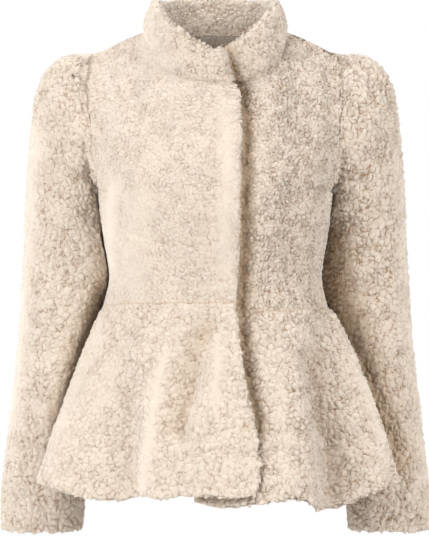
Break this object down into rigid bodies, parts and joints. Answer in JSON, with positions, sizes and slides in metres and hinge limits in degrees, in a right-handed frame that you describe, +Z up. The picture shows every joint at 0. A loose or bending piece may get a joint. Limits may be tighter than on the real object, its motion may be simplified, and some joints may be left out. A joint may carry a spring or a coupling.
{
  "type": "faux fur coat",
  "caption": "Hollow hip-length faux fur coat with stand collar, long pleat-headed sleeves, lapped front and fluted peplum, filled out as if worn.",
  "frame": {"origin": "middle of the neck base, level with the points where the shoulder seams meet the neck seam", "axes": "+Z up, front of the coat faces -Y, +X towards the wearer's left sleeve"},
  "size_m": [0.578, 0.3928, 0.7191],
  "materials": {
    "faux_fur": "matte curly pile"
  },
  "bodies": {
    "root": {"bodice_back": "faux_fur", "bodice_front_left": "faux_fur", "bodice_front_right": "faux_fur", "collar": "faux_fur", "peplum_back": "faux_fur", "peplum_front_left": "faux_fur", "peplum_front_right": "faux_fur", "sleeve_left": "faux_fur", "sleeve_right": "faux_fur"}
  },
  "joints": []
}
